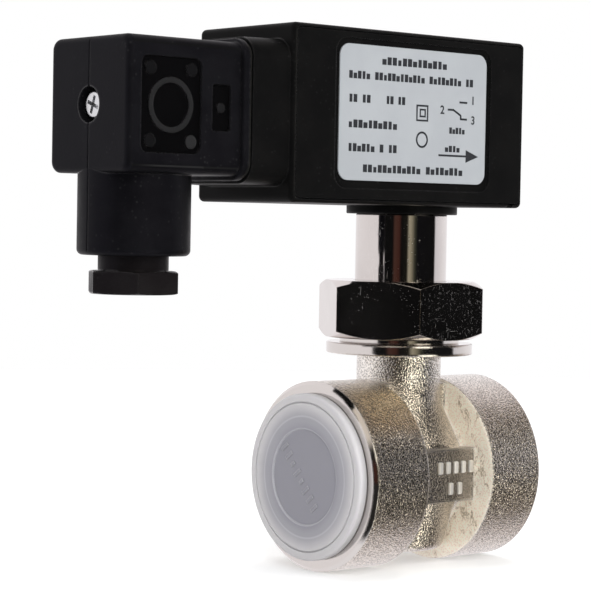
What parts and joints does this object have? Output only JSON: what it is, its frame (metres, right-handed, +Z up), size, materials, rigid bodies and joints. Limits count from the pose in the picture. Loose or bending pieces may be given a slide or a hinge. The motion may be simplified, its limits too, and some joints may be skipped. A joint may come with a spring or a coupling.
{
  "type": "flow switch",
  "caption": "Paddle flow switch: threaded pipe tee, union nut and stem carrying a black switch housing with a square cable plug.",
  "frame": {"origin": "the point where the pipe axis meets the branch axis", "axes": "+X along the pipe in the direction of flow, out of the open outlet port; +Z up the branch towards the switch head; the label faces -Y"},
  "size_m": [0.1094, 0.0408, 0.1151],
  "materials": {
    "nickel_cast": "bead-blasted nickel plate on forged brass",
    "nickel_polished": "polished nickel plate",
    "steel": "stainless steel, bright",
    "zinc": "bright zinc plate",
    "brass": "turned brass",
    "silvered_copper": "tin-plated contact brass",
    "black_housing": "glass-filled polyamide, satin black",
    "black_plug": "glass-filled polyamide, satin blue-black",
    "grey_insulator": "thermoplastic insulator, dark grey",
    "switch_red": "phenolic switch case",
    "milky_plastic": "translucent polyethylene",
    "rubber": "black nitrile rubber",
    "fibre_gasket": "compressed fibre gasket",
    "label": "printed polyester film",
    "lead_black": "PVC insulation, black",
    "lead_blue": "PVC insulation, blue",
    "lead_brown": "PVC insulation, brown"
  },
  "bodies": {
    "tee": {"tee_body": "nickel_cast", "branch_gasket": "fibre_gasket"},
    "inlet_cap": {"inlet_cap": "milky_plastic"},
    "union_nut": {"union_nut": "nickel_polished"},
    "head": {"stem": "nickel_polished", "collar": "black_housing", "stem_locknut": "brass", "bearing_block": "brass", "pivot_pin": "steel", "bellows": "brass", "switch_case": "switch_red", "switch_terminals": "silvered_copper", "switch_screws": "zinc", "switch_nuts": "zinc", "switch_frame": "zinc", "return_spring": "steel", "setpoint_screw": "brass", "setpoint_nut": "brass", "switch_housing": "black_housing", "cover_seal": "rubber", "front_cover": "black_housing", "rating_label": "label", "contact_base": "grey_insulator", "contact_blades": "silvered_copper", "earth_blade": "silvered_copper", "base_screws": "zinc", "plug_gasket": "rubber", "lead_common": "lead_black", "lead_closing": "lead_brown", "lead_opening": "lead_blue"},
    "lever": {"paddle": "steel", "paddle_rivets": "steel", "lever_rod": "steel", "lever_head": "brass", "clamp_screw": "zinc", "contact_screw": "brass", "contact_nut": "brass"},
    "leaf": {"switch_leaf": "steel"},
    "plunger": {"switch_plunger": "grey_insulator"},
    "plug": {"plug_housing": "black_plug", "contact_carrier": "grey_insulator", "terminal_screws": "zinc", "screw_seal": "rubber", "gland_washer": "steel", "gland_seal": "rubber"},
    "plug_screw": {"plug_screw": "zinc"},
    "gland_nut": {"gland_nut": "black_plug"}
  },
  "joints": [
    {"name": "head_swivel", "type": "hinge", "parent": "tee", "child": "head", "pos_m": [0, 0, 0.0369], "axis": [0, 0, 1], "continuous": true},
    {"name": "union_nut_turn", "type": "hinge", "parent": "tee", "child": "union_nut", "pos_m": [0, 0, 0.03565], "axis": [0, 0, 1], "continuous": true},
    {"name": "cap_pull", "type": "slide", "parent": "tee", "child": "inlet_cap", "axis": [-1, 0, 0], "range_m": [0, 0.03]},
    {"name": "paddle_swing", "type": "hinge", "parent": "head", "child": "lever", "pos_m": [0, 0, 0.05], "axis": [0, -1, 0], "range_deg": [0, 4], "stiffness_Nm_per_rad": 0.13, "springref_deg": -2.86, "deforming": ["bellows", "return_spring"]},
    {"name": "leaf_swing", "type": "hinge", "parent": "head", "child": "leaf", "pos_m": [-0.008, 0.0003, 0.0658], "axis": [0, -1, 0], "range_deg": [0, 8.4]},
    {"name": "plunger_press", "type": "slide", "parent": "head", "child": "plunger", "axis": [-1, 0, 0], "range_m": [0, 0.00051]},
    {"name": "plug_pull", "type": "slide", "parent": "head", "child": "plug", "axis": [-1, 0, 0], "range_m": [0, 0.03]},
    {"name": "plug_screw_turn", "type": "hinge", "parent": "plug", "child": "plug_screw", "pos_m": [-0.0834, 0, 0.0765], "axis": [-1, 0, 0], "continuous": true},
    {"name": "gland_nut_turn", "type": "hinge", "parent": "plug", "child": "gland_nut", "pos_m": [-0.073, 0, 0.0418], "axis": [0, 0, 1], "continuous": true}
  ],
  "couplings": [
    {"joint": "leaf_swing", "follows": "paddle_swing", "ratio": 2.09},
    {"joint": "plunger_press", "follows": "paddle_swing", "m_per_rad": 0.00719}
  ]
}
